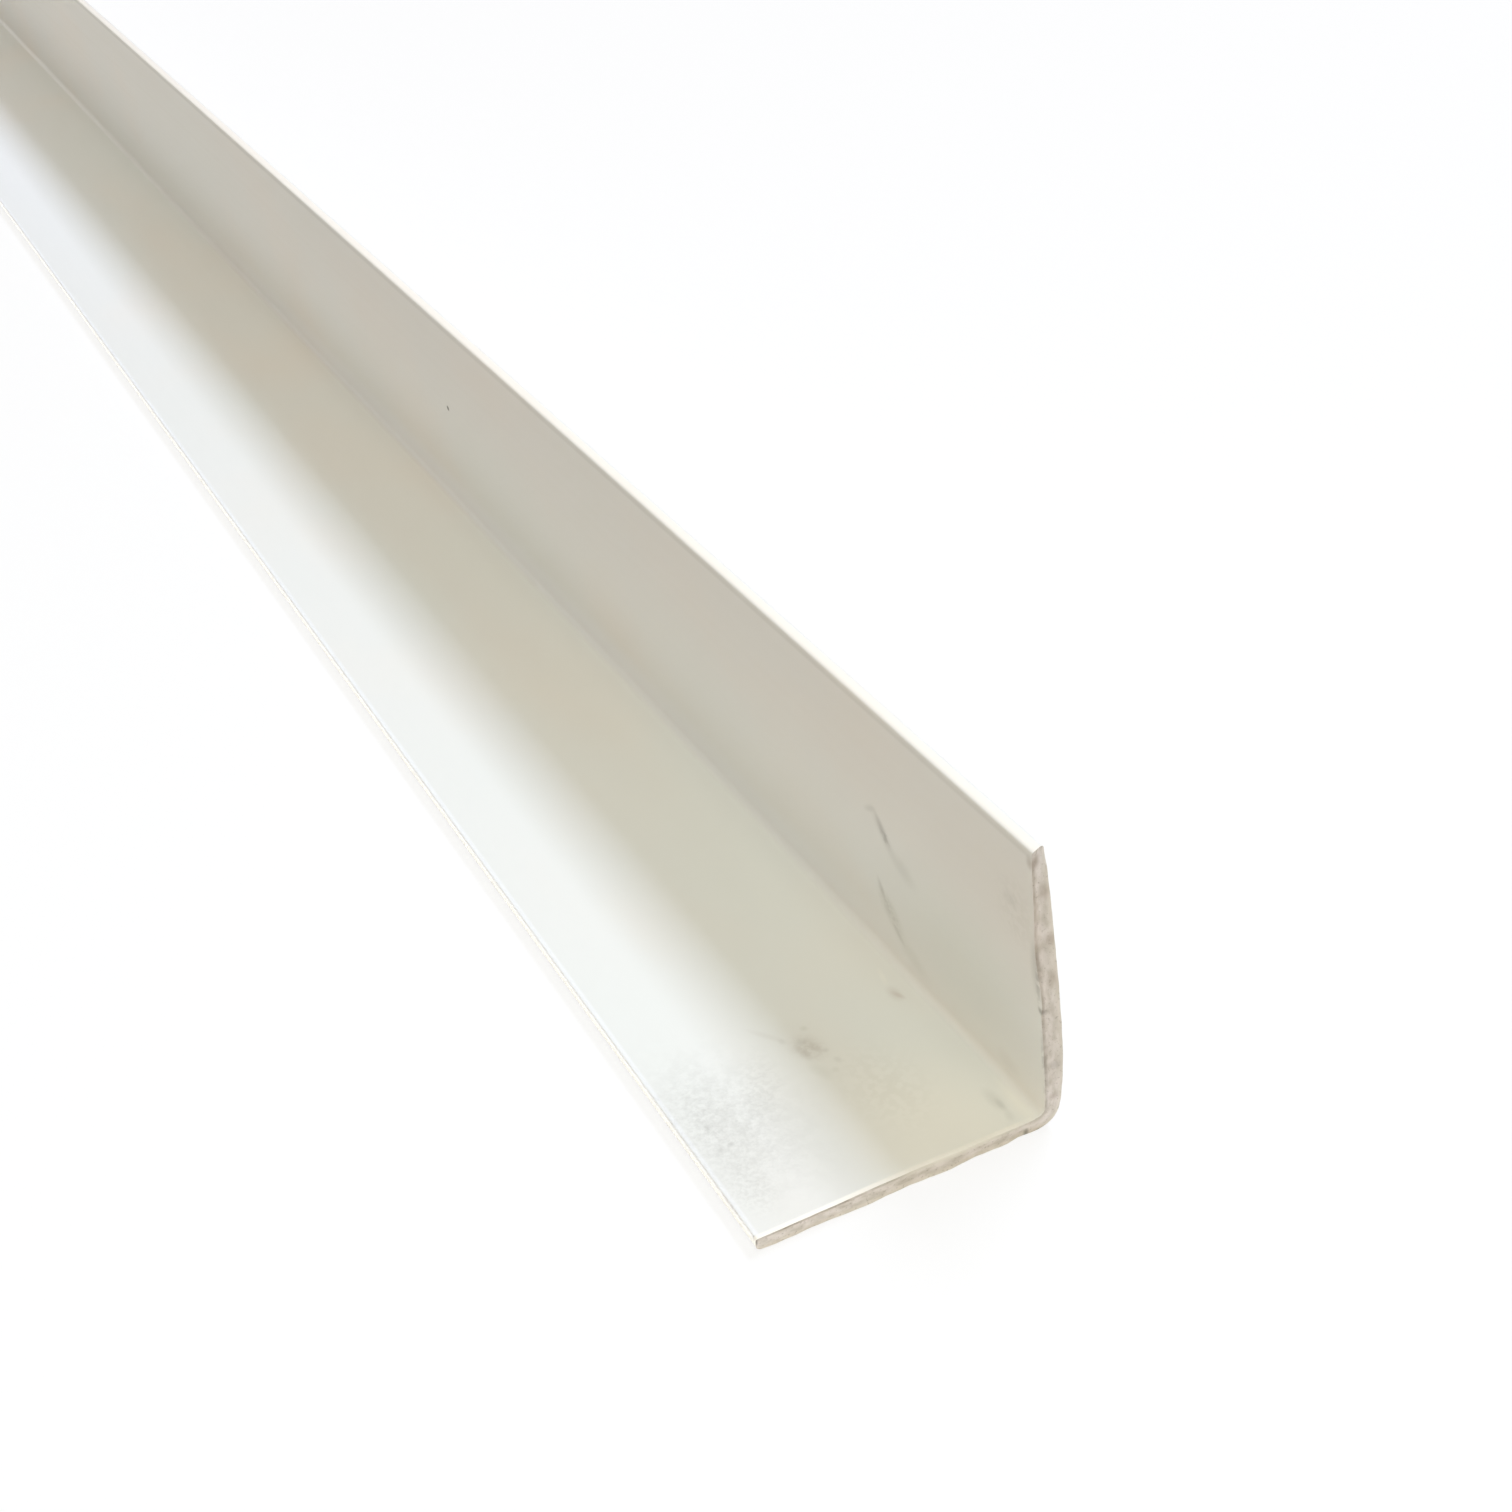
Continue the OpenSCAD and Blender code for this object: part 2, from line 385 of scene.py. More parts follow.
@dataclass(frozen=True)
class ExtrudedPvc:
    """Rigid PVC-U straight from the extrusion die: opaque, slightly warm white, satin.

    The calibrator leaves faint lines along the bar, the wall's cooling leaves slow drifts of tone,
    and handling leaves rubs, so the eye sees a soft sheen that is never quite even. Patches of
    painted light and shade and a painted highlight along the flat leg's cut lie in its colour too.

    Attributes:
        white: The plastic's own colour.
        cool_white: The colour that it drifts towards in places.
        warm_white: The colour that it drifts towards in other places.
        burr_highlight_white: The raw edge that the saw turned up along the cut, painted bright as a
            highlight.
        roughness: Of the satin surface.
        ior: Refractive index of rigid PVC.
        sheen: How far the roughness swings between the die lines.
        drift_size: Length of the slow drifts of tone, in millimetres.
        drift_along: Scale of the drifts' pattern along the bar, below 1 to stretch it.
        drift_start: The place in that pattern that the bar's middle falls on.
        line_pitch: Spacing of the die lines, in millimetres.
        line_run: How many times longer than wide the die lines' pattern is.
        line_depth: Depth of the die lines, in millimetres, drawn deeper than real to show.
        burr_highlight_width: Width of the raw edge and its painted highlight beside the cut, in
            millimetres.
        burr_highlight_end: How far the painted highlight runs from the flat leg's toe, in
            millimetres.
        burr_highlight_fade: Length over which it ends there, in millimetres.
    """

    white: str = "#F0F1EE"
    cool_white: str = "#EFF1EE"
    warm_white: str = "#F2F0EB"
    burr_highlight_white: str = "#FFFCF4"
    roughness: float = 0.40
    ior: float = 1.53
    sheen: float = 0.05
    drift_size: float = 28.0
    drift_along: float = 0.45
    drift_start: Triple = (0.31, 0.07, 0.12)
    line_pitch: float = 1.6
    line_run: float = 250.0
    line_depth: float = 0.004
    burr_highlight_width: float = 0.85
    burr_highlight_end: float = 44.5
    burr_highlight_fade: float = 2.0

    def build(self, marks: tuple[Mark, ...], bar: "CornerAngle") -> Material:
        """Makes the material.

        Args:
            marks: What handling has left on the inner faces, and patches of painted light and
                shade.
            bar: The bar that places them.

        Returns:
            The material.
        """
        material = bpy.data.materials.new("extruded_rigid_pvc")
        material.use_nodes = True
        tree = material.node_tree
        shader = tree.nodes["Principled BSDF"]
        place = add_node(tree, "ShaderNodeTexCoord").outputs["Object"]
        colour = self.drift(tree, place)
        for mark in marks:
            colour = mark.paint(tree, place, colour, bar)
        # The raw edge along the flat leg's cut, painted bright as a highlight where it catches the
        # light
        colour = self.burr_highlight(tree, colour)
        tree.links.new(colour, shader.inputs["Base Color"])
        shader.inputs["IOR"].default_value = self.ior
        along = add_node(tree, "ShaderNodeMapping", {
            "Vector": place, "Scale": (1 / self.line_run, 1.0, 1.0)})
        lines = add_node(tree, "ShaderNodeTexNoise", {
            "Vector": along.outputs["Vector"], "Scale": 1 / (self.line_pitch * MM),
            "Detail": 3.0}).outputs["Fac"]
        sheen = add_node(tree, "ShaderNodeMapRange", {
            "Value": lines, "From Min": 0.3, "From Max": 0.7,
            "To Min": self.roughness - self.sheen, "To Max": self.roughness + self.sheen})
        tree.links.new(sheen.outputs["Result"], shader.inputs["Roughness"])
        bump = add_node(tree, "ShaderNodeBump", {
            "Height": lines, "Strength": 1.0, "Distance": self.line_depth * MM})
        tree.links.new(bump.outputs["Normal"], shader.inputs["Normal"])
        return material

    def drift(self, tree: NodeTree, place: NodeSocket) -> NodeSocket:
        """Draws the slow drifts of tone along the bar.

        Args:
            tree: The material's node tree.
            place: Object coordinates.

        Returns:
            The colour.
        """
        stretched = add_node(tree, "ShaderNodeMapping", {
            "Vector": place, "Scale": (self.drift_along, 1.0, 1.0), "Location": self.drift_start})
        slow = add_node(tree, "ShaderNodeTexNoise", {
            "Vector": stretched.outputs["Vector"], "Scale": 1 / (self.drift_size * MM),
            "Detail": 2.0, "Roughness": 0.45})
        ramp = add_node(tree, "ShaderNodeValToRGB", {"Fac": slow.outputs["Fac"]})
        stops = ramp.color_ramp.elements
        stops[0].position = 0.30
        stops[0].color = linear(self.cool_white)
        stops[1].position = 0.72
        stops[1].color = linear(self.warm_white)
        middle = stops.new(0.5)
        middle.color = linear(self.white)
        return ramp.outputs["Color"]

    def burr_highlight(self, tree: NodeTree, colour: NodeSocket) -> NodeSocket:
        """Draws the pale raw edge along the saw cut, painted bright as a highlight on the flat leg.

        Args:
            tree: The material's node tree.
            colour: The colour under it.

        Returns:
            The colour with the raw edge's painted highlight.
        """
        stock = add_node(tree, "ShaderNodeAttribute", attribute_name=CornerAngle.STOCK_LAYER)
        axes = add_node(tree, "ShaderNodeSeparateXYZ", {0: stock.outputs["Vector"]}).outputs
        width = self.burr_highlight_width * MM
        near = add_node(tree, "ShaderNodeMapRange", {
            "Value": axes["Z"], "From Min": width, "From Max": width * 0.5},
            interpolation_type="SMOOTHSTEP")
        flat = add_node(tree, "ShaderNodeMapRange", {
            "Value": axes["X"], "From Min": self.burr_highlight_end * MM,
            "From Max": (self.burr_highlight_end - self.burr_highlight_fade) * MM})
        mask = add_node(tree, "ShaderNodeMath", {
            0: near.outputs["Result"], 1: flat.outputs["Result"]}, operation="MULTIPLY")
        mix = add_node(tree, "ShaderNodeMix", {
            0: mask.outputs["Value"], MIX_A: colour, MIX_B: linear(self.burr_highlight_white)},
            data_type="RGBA")
        return mix.outputs[MIX_RESULT]


@dataclass(frozen=True)
class SawnPvc:
    """Rigid PVC where a hand saw went through it: matt, torn and rubbed with brownish dirt.

    The torn plastic scatters light like chalk, the saw's pull leaves soft slanted streaks, and
    dust settles in the pits. A painted shadow lies under the lip that the saw turned up along the
    inner edge, and painted light from the floor makes the cut paler along its outer edge.

    Attributes:
        torn: The torn plastic's colour.
        dirty: The colour where dust has settled.
        dark: The colour of the deepest pits, and of the painted shadow line under the lip.
        floor_lit_pale: The paler colour painted along the cut's outer edge as light from the floor.
        roughness: Of the torn surface.
        ior: Refractive index of rigid PVC.
        streak_pitch: Spacing of the soft streaks, in millimetres.
        streak_slant: Slant of the streaks, in degrees.
        pit_size: Size of the pits, in millimetres.
        pit_depth: Depth of the pits, in millimetres.
        lip_shadow_line: Width of the painted shadow line under the lip, in millimetres.
        lip_breaks: Spacing of the breaks in that line, in millimetres.
        upright_from: Where the upright leg's look begins, in millimetres from the flat leg's toe.
        upright_grime: How much of the dark colour lies over the upright leg's cut.
    """

    torn: str = "#F5F0EE"
    dirty: str = "#D9D4CD"
    dark: str = "#7E7468"
    floor_lit_pale: str = "#F8F4EC"
    roughness: float = 0.75
    ior: float = 1.53
    streak_pitch: float = 1.2
    streak_slant: float = 14.0
    pit_size: float = 0.5
    pit_depth: float = 0.03
    lip_shadow_line: float = 0.6
    lip_breaks: float = 1.2
    upright_from: float = 43.0
    upright_grime: float = 0.19

    def build(self, marks: tuple[Mark, ...], bar: "CornerAngle") -> Material:
        """Makes the material.

        Args:
            marks: Smudges, specks and patches of painted light and shade that reach the cut.
            bar: The bar that places them.

        Returns:
            The material.
        """
        material = bpy.data.materials.new("sawn_rigid_pvc")
        material.use_nodes = True
        tree = material.node_tree
        shader = tree.nodes["Principled BSDF"]
        place = add_node(tree, "ShaderNodeTexCoord").outputs["Object"]
        stock = add_node(tree, "ShaderNodeAttribute",
                         attribute_name=CornerAngle.STOCK_LAYER).outputs["Vector"]
        slanted = add_node(tree, "ShaderNodeMapping", {
            "Vector": stock, "Rotation": (0.0, 0.0, math.radians(self.streak_slant)),
            "Scale": (0.45, 1.0, 1.0)})
        streaks = add_node(tree, "ShaderNodeTexNoise", {
            "Vector": slanted.outputs["Vector"], "Scale": 1 / (self.streak_pitch * MM),
            "Detail": 2.0})
        pits = add_node(tree, "ShaderNodeTexNoise", {
            "Vector": stock, "Scale": 1 / (self.pit_size * MM), "Detail": 3.0}).outputs["Fac"]
        axes = add_node(tree, "ShaderNodeSeparateXYZ", {0: stock}).outputs
        # What each layer follows, where it starts and is full, how much it shows and its tone
        layers = (
            (streaks.outputs["Fac"], 0.36, 0.66, 1.0, self.dirty),
            # Painted light from the floor, paler towards the cut's outer edge
            (axes["Y"], 1.1 * MM, 0.1 * MM, 0.6, self.floor_lit_pale),
            (axes["X"], self.upright_from * MM, 60 * MM, self.upright_grime, self.dark),
            (pits, 0.58, 0.76, 0.5, self.dark),
        )
        masks = []
        for value, start, full, share, tone in layers:
            mask = add_node(tree, "ShaderNodeMapRange", {
                "Value": value, "From Min": start, "From Max": full, "To Max": share})
            masks.append((mask.outputs["Result"], tone))
        # A broken line of painted shadow under the lip
        masks.append((self.under_lip_shadow(tree, stock), self.dark))
        colour = linear(self.torn)
        for mask, tone in masks:
            colour = add_node(tree, "ShaderNodeMix", {0: mask, MIX_A: colour, MIX_B: linear(tone)},
                              data_type="RGBA").outputs[MIX_RESULT]
        for mark in marks:
            colour = mark.paint(tree, place, colour, bar)
        tree.links.new(colour, shader.inputs["Base Color"])
        shader.inputs["Roughness"].default_value = self.roughness
        shader.inputs["IOR"].default_value = self.ior
        bump = add_node(tree, "ShaderNodeBump", {
            "Height": pits, "Strength": 0.7, "Distance": self.pit_depth * MM})
        tree.links.new(bump.outputs["Normal"], shader.inputs["Normal"])
        return material

    def under_lip_shadow(self, tree: NodeTree, stock: NodeSocket) -> NodeSocket:
        """Masks the broken line of painted shadow just under the cut's inner edge, where the lip
        overhangs it.

        Args:
            tree: The material's node tree.
            stock: Place along the section, through the wall and along the bar.

        Returns:
            The mask.
        """
        wall = CornerAngle.wall
        axes = add_node(tree, "ShaderNodeSeparateXYZ", {0: stock}).outputs
        line = add_node(tree, "ShaderNodeMapRange", {
            "Value": axes["Y"], "From Min": wall - self.lip_shadow_line * MM,
            "From Max": wall - 0.3 * self.lip_shadow_line * MM}, interpolation_type="SMOOTHSTEP")
        stretched = add_node(tree, "ShaderNodeMapping", {"Vector": stock, "Scale": (0.3, 1.0, 1.0)})
        breaks = add_node(tree, "ShaderNodeTexNoise", {
            "Vector": stretched.outputs["Vector"], "Scale": 1 / (self.lip_breaks * MM),
            "Detail": 2.0})
        shown = add_node(tree, "ShaderNodeMapRange", {
            "Value": breaks.outputs["Fac"], "From Min": 0.35, "From Max": 0.65,
            "To Min": 0.15, "To Max": 0.75})
        fading = add_node(tree, "ShaderNodeMapRange", {
            "Value": axes["X"], "From Min": self.upright_from * MM, "From Max": 50 * MM,
            "To Min": 1.0, "To Max": 0.6})
        mask = line.outputs["Result"]
        for other in (shown, fading):
            mask = add_node(tree, "ShaderNodeMath", {0: mask, 1: other.outputs["Result"]},
                            operation="MULTIPLY").outputs["Value"]
        return mask


@dataclass
class CornerAngle:
    """The bar: one L section drawn along X, with its sawn end at +X.

    Attributes:
        low: Lowest corner of the bar's box.
        high: Highest corner of the bar's box.
        wall: Thickness of the wall.
        root_radius: Radius of the fillet inside the root.
        toe_outer_radius: Radius of the rounded edge on the outer side of each toe.
        toe_inner_radius: Radius of the crisp edge on the inner side of each toe.
        pitch: Spacing of the mesh across the legs.
        bend_steps: Steps of the mesh round the root.
        first_step: Spacing of the mesh along the bar at the cut.
        even_steps: How many steps from the cut are that long.
        growth: How much each step along the bar grows over the one before it.
        longest_step: The longest step along the bar.
        sway: How far in from the end the mesh follows the cut's shape.
        tooth_depth: Depth of the saw's ridges on the cut.
        tooth_pitch: Spacing of the saw's ridges.
        tear_depth: Depth of the torn plastic's lumps.
        tear_size: Size of the torn plastic's lumps.
        edge_turn: How far the saw rolled the cut's inner edge over.
        edge_reach: How far behind the cut the rolled edge begins.
        edge_wave: Length over which the roll grows and shrinks along the cut.
        upright_share: The share of the roll that the upright leg's edge has.
        crisp_angle: The angle between two faces from which their edge is shaded as a crisp one.
        cut: The course of the saw cut, from the flat leg's toe to the upright leg's.
        skin: The finish of the extruded faces.
        raw: The finish of the sawn face.
    """

    low: Vector
    high: Vector
    wall: float = 2.8 * MM
    root_radius: float = 1.5 * MM
    toe_outer_radius: float = 1.2 * MM
    toe_inner_radius: float = 0.3 * MM
    pitch: float = 0.4 * MM
    bend_steps: int = 10
    first_step: float = 0.25 * MM
    even_steps: int = 8
    growth: float = 1.22
    longest_step: float = 25 * MM
    sway: float = 25 * MM
    tooth_depth: float = 0.01 * MM
    tooth_pitch: float = 1.1 * MM
    tear_depth: float = 0.10 * MM
    tear_size: float = 1.3 * MM
    edge_turn: float = 0.18 * MM
    edge_reach: float = 0.6 * MM
    edge_wave: float = 4 * MM
    upright_share: float = 0.3
    crisp_angle: float = math.radians(50)
    cut: tuple[CutPoint, ...] = CUT
    skin: ExtrudedPvc = field(default_factory=ExtrudedPvc)
    raw: SawnPvc = field(default_factory=SawnPvc)

    STOCK_LAYER = "stock"

    @property
    def heel_radius(self) -> float:
        """Outer radius of the bend, which is concentric with the root fillet."""
        return self.root_radius + self.wall

    @property
    def bend_centre(self) -> Vector:
        """Centre of the bend in the section's plane."""
        return Vector((0.0, self.high.y - self.heel_radius, self.low.z + self.heel_radius))

    @property
    def bend_run(self) -> float:
        """Length of the bend along the middle of the wall."""
        return (self.root_radius + self.wall / 2) * math.pi / 2

    def mark_frame(self, mark: Mark) -> tuple[Vector, Vector, Vector]:
        """Places a mark on the inner face of its leg.

        Args:
            mark: The mark.

        Returns:
            The middle, rotation and half sizes of the ellipsoid that colours the face.
        """
        x = self.high.x - mark.from_end * MM
        length = mark.length * MM / 2
        width = mark.width * MM / 2
        depth = self.wall / 2
        level = self.wall - mark.sunk * MM
        turn = math.radians(mark.turn)
        if mark.leg is FLAT:
            middle = Vector((x, mark.at * MM, self.low.z + level))
            return middle, Vector((0.0, 0.0, turn)), Vector((length, width, depth))
        middle = Vector((x, self.high.y - level, mark.at * MM))
        return middle, Vector((0.0, -turn, 0.0)), Vector((length, depth, width))

    def wall_levels(self) -> list[float]:
        """Steps through the wall that suit the toes' two rounded edges.

        Returns:
            Distances from the outer face, from 0 to the wall's thickness.
        """
        outer = [self.toe_outer_radius * (1 - math.cos(math.radians(a))) for a in range(0, 90, 18)]
        last = self.wall - self.toe_inner_radius
        flat = [self.toe_outer_radius + (last - self.toe_outer_radius) * k / 3 for k in range(3)]
        inner = [last + self.toe_inner_radius * math.sin(math.radians(a)) for a in (0, 30, 60, 90)]
        return outer + flat + inner

    def toe_loss(self, level: float) -> float:
        """How far a toe's rounded edges pull it in at one level of the wall.

        Args:
            level: Distance from the outer face.

        Returns:
            Distance from the leg's full width.
        """
        outer = self.toe_outer_radius
        inner = self.toe_inner_radius
        if level < outer:
            return outer - math.sqrt(max(0.0, outer ** 2 - (outer - level) ** 2))
        rest = level - (self.wall - inner)
        if rest > 0:
            return inner - math.sqrt(max(0.0, inner ** 2 - rest ** 2))
        return 0.0

    def grow_leg(self, mesh: BMesh, column: list[BMEdge], way: Vector, length: float) -> None:
        """Draws one leg of the section out from the bend to its toe.

        Args:
            mesh: The mesh.
            column: Edges across the wall where the leg starts.
            way: Direction of the leg, from the bend to the toe.
            length: Distance from the bend to the toe.
        """
        toe_zone = self.toe_outer_radius + self.pitch
        count = round((length - toe_zone) / self.pitch)
        reaches = [(length - toe_zone) * k / count for k in range(1, count + 1)]
        shares = (0.25, 0.5, 0.75, 1.0)
        start = {v.index: v.co.copy() for e in column for v in e.verts}
        levels = {i: self.level_of(co) for i, co in start.items()}
        order = {v: v.index for e in column for v in e.verts}
        for reach, share in [(r, 0.0) for r in reaches] + [(length - toe_zone, s) for s in shares]:
            grown = bmesh.ops.extrude_edge_only(mesh, edges=column)["geom"]
            column = [g for g in grown if isinstance(g, BMEdge)]
            fresh = {v for e in column for v in e.verts}
            order = self.match_columns(order, fresh)
            for vert, index in order.items():
                full = reach + share * (toe_zone - self.toe_loss(levels[index]))
                vert.co = start[index] + way * full

    @staticmethod
    def match_columns(order: dict[BMVert, int], fresh: set[BMVert]) -> dict[BMVert, int]:
        """Gives each vertex of a new column the number of the one that it was drawn from.

        Args:
            order: Number by vertex of the old column.
            fresh: Vertices of the new column, still on top of the old ones.

        Returns:
            Number by vertex of the new column.
        """
        return {v: order[next(o for e in v.link_edges if (o := e.other_vert(v)) in order)]
                for v in fresh}

    def level_of(self, point: Vector) -> float:
        """Distance of a point in the wall from the outer face.

        Args:
            point: The point.

        Returns:
            The distance.
        """
        centre = self.bend_centre
        if point.y <= centre.y:
            return point.z - self.low.z
        if point.z >= centre.z:
            return self.high.y - point.y
        return self.heel_radius - math.hypot(point.y - centre.y, point.z - centre.z)

    def run_of(self, point: Vector) -> float:
        """Distance of a point along the section, from the flat leg's toe to the upright leg's.

        Args:
            point: The point.

        Returns:
            The distance, which counts the bend at the middle of the wall.
        """
        centre = self.bend_centre
        if point.y <= centre.y:
            return point.y - self.low.y
        straight = centre.y - self.low.y
        if point.z >= centre.z:
            return straight + self.bend_run + point.z - centre.z
        angle = math.atan2(point.y - centre.y, centre.z - point.z)
        return straight + self.bend_run * angle / (math.pi / 2)

    def cut_run(self, point: CutPoint) -> float:
        """Place of a point of the cut along the section, as run_of gives it."""
        if point.leg is FLAT:
            return point.at * MM - self.low.y
        straight = self.bend_centre.y - self.low.y
        return straight + self.bend_run + point.at * MM - self.bend_centre.z

    def setback(self, point: Vector) -> float:
        """How far the saw cut lies behind the bar's full length.

        Args:
            point: A point of the section.

        Returns:
            The distance along the bar.
        """
        run = self.run_of(point)
        share = self.level_of(point) / self.wall
        runs = [self.cut_run(c) for c in self.cut]
        backs = [(c.outer + (c.inner - c.outer) * share) * MM for c in self.cut]
        after = next((i for i, r in enumerate(runs) if r > run), len(runs) - 1)
        before = max(0, after - 1)
        span = runs[after] - runs[before]
        mix = (run - runs[before]) / span if span else 0.0
        return backs[before] + (backs[after] - backs[before]) * min(1.0, max(0.0, mix))

    def relief(self, point: Vector) -> float:
        """Depth of the saw's ridges and of the torn plastic at one place of the cut.

        Args:
            point: A point of the section.

        Returns:
            The depth along the bar.
        """
        run = self.run_of(point)
        level = self.level_of(point)
        # The lumps are longer along the section, and all of it fades towards the inner edge
        torn = noise.noise(Vector((run * 0.6, level, 0.0)) / self.tear_size)
        phase = (run * 0.8 + level * 0.6) / self.tooth_pitch + 0.8 * torn
        rough = 1.0 - 0.8 * level / self.wall
        return rough * (self.tooth_depth * math.sin(2 * math.pi * phase) + self.tear_depth * torn)

    def section(self, mesh: BMesh) -> list[BMFace]:
        """Draws the L section as a sheet of small faces at the far end.

        Args:
            mesh: An empty mesh.

        Returns:
            The section's faces.
        """
        centre = self.bend_centre
        foot = Vector((self.low.x, centre.y, self.low.z))
        vert = bmesh.ops.create_vert(mesh, co=foot)["vert"][0]
        for level in self.wall_levels()[1:]:
            vert = bmesh.ops.extrude_vert_indiv(mesh, verts=[vert])["verts"][0]
            vert.co.z = self.low.z + level
        mesh.verts.index_update()
        column = list(mesh.edges)
        bend = bmesh.ops.spin(
            mesh, geom=list(mesh.verts) + column, cent=(self.low.x, centre.y, centre.z),
            axis=(1.0, 0.0, 0.0), angle=math.pi / 2, steps=self.bend_steps)["geom_last"]
        mesh.verts.index_update()
        upright = [g for g in bend if isinstance(g, BMEdge)]
        self.grow_leg(mesh, column, Vector((0.0, -1.0, 0.0)), centre.y - self.low.y)
        self.grow_leg(mesh, upright, Vector((0.0, 0.0, 1.0)), self.high.z - centre.z)
        return list(mesh.faces)

    def steps(self) -> list[float]:
        """Steps along the bar, from long ones at the far end to short ones at the cut.

        Returns:
            The steps, which add up to the bar's length.
        """
        total = self.high.x - self.low.x
        even = [self.first_step] * self.even_steps
        longer = [self.first_step * self.growth]
        while sum(even) + sum(longer) + longer[-1] * self.growth < total:
            longer.append(min(self.longest_step, longer[-1] * self.growth))
        scale = (total - sum(even)) / sum(longer)
        return [s * scale for s in reversed(longer)] + even

    def draw(self, mesh: BMesh, faces: list[BMFace]) -> None:
        """Draws the section along the bar, saws its end and keeps each vertex's way to the cut.

        Args:
            mesh: The mesh.
            faces: The section's faces at the far end.
        """
        layer = mesh.verts.layers.float_vector.new(self.STOCK_LAYER)
        behind = self.high.x - self.low.x
        for vert in mesh.verts:
            vert[layer] = (self.run_of(vert.co), self.level_of(vert.co), behind)
        passed = []
        for step in self.steps():
            grown = bmesh.ops.extrude_face_region(mesh, geom=faces)["geom"]
            if passed:
                bmesh.ops.delete(mesh, geom=passed, context="FACES")
            faces = [g for g in grown if isinstance(g, BMFace)]
            passed = faces
            verts = [g for g in grown if isinstance(g, BMVert)]
            behind = max(0.0, behind - step)
            follow = smooth_step(1 - behind / self.sway)
            for vert in verts:
                vert[layer] = (*vert[layer].xy, behind)
                vert.co.x = self.high.x - behind
                if follow:
                    vert.co.x -= follow * self.setback(vert.co)
        for face in faces:
            face.material_index = 1
        self.tear(mesh, faces)

    def outward(self, point: Vector) -> Vector:
        """Direction through the wall from the inner face to the outer one.

        Args:
            point: A point in the wall.

        Returns:
            The direction.
        """
        centre = self.bend_centre
        away = Vector((0.0, point.y - centre.y, point.z - centre.z))
        if away.y <= 0:
            return Vector((0.0, 0.0, -1.0))
        return Vector((0.0, 1.0, 0.0)) if away.z >= 0 else away.normalized()

    def tear(self, mesh: BMesh, cap: list[BMFace]) -> None:
        """Gives the cut its ridges and lumps, and rolls its inner edge over a little.

        Args:
            mesh: The mesh.
            cap: The faces of the cut.
        """
        layer = mesh.verts.layers.float_vector[self.STOCK_LAYER]
        for vert in {v for f in cap for v in f.verts}:
            vert.co.x = min(self.high.x, vert.co.x - self.relief(vert.co))
        for vert in mesh.verts:
            run, level, behind = vert[layer]
            if behind > self.edge_reach:
                continue
            leg = 1.0 if run < self.bend_centre.y - self.low.y else self.upright_share
            rough = 1.0 + 0.4 * noise.noise(Vector((run, 0.0, 7 * MM)) / self.edge_wave)
            turn = leg * rough * self.edge_turn * (1 - behind / self.edge_reach) ** 2
            vert.co += self.outward(vert.co) * (turn * level / self.wall)

    def shade(self, mesh: BMesh) -> None:
        """Shades the mesh smoothly, apart from the cut's rim and the other crisp edges.

        Args:
            mesh: The mesh.
        """
        mesh.normal_update()
        for face in mesh.faces:
            face.smooth = True
        for edge in mesh.edges:
            rim = len({f.material_index for f in edge.link_faces}) > 1
            edge.smooth = not rim and edge.calc_face_angle(0.0) < self.crisp_angle

    def build(self) -> Object:
        """Models the bar and dresses it.

        Returns:
            The bar's object.
        """
        mesh = bmesh.new()
        self.draw(mesh, self.section(mesh))
        bmesh.ops.recalc_face_normals(mesh, faces=mesh.faces)
        self.shade(mesh)
        data = bpy.data.meshes.new("corner_angle_bar")
        mesh.to_mesh(data)
        mesh.free()
        data.materials.append(self.skin.build(MARKS, self))
        data.materials.append(self.raw.build(tuple(m for m in MARKS if m.at_cut), self))
        bar = bpy.data.objects.new("corner_angle_bar", data)
        bpy.context.scene.collection.objects.link(bar)
        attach(bar, "root")
        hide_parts(NODE)
        return bar


@dataclass(frozen=True)
class Viewpoint:
    """The camera: a hand-held close-up from above the sawn end.

    Attributes:
        place: Where the lens is.
        azimuth: Direction of view, in degrees from +Y towards -X.
        drop: How far it looks down, in degrees.
        roll: How far its right side is tipped down, in degrees.
        lens: Focal length on a 36 mm sensor, in millimetres.
    """

    place: Vector = field(default_factory=lambda: Vector((718.18, -108.01, 233.05)) * MM)
    azimuth: float = 67.30
    drop: float = 32.66
    roll: float = 7.02
    lens: float = 54.88

    def build(self) -> Object:
        """Makes the camera and looks through it.

        Returns:
            The camera's object.
        """
        data = bpy.data.cameras.new("viewpoint")
        data.lens = self.lens
        data.sensor_width = 36.0
        data.clip_start = 0.01
        camera = bpy.data.objects.new("viewpoint", data)
        bpy.context.scene.collection.objects.link(camera)
        aim = (Matrix.Rotation(math.radians(self.azimuth), 4, "Z")
               @ Matrix.Rotation(math.radians(90 - self.drop), 4, "X")
               @ Matrix.Rotation(math.radians(-self.roll), 4, "Z"))
        camera.matrix_world = Matrix.Translation(self.place) @ aim
        bpy.context.scene.camera = camera
        return camera


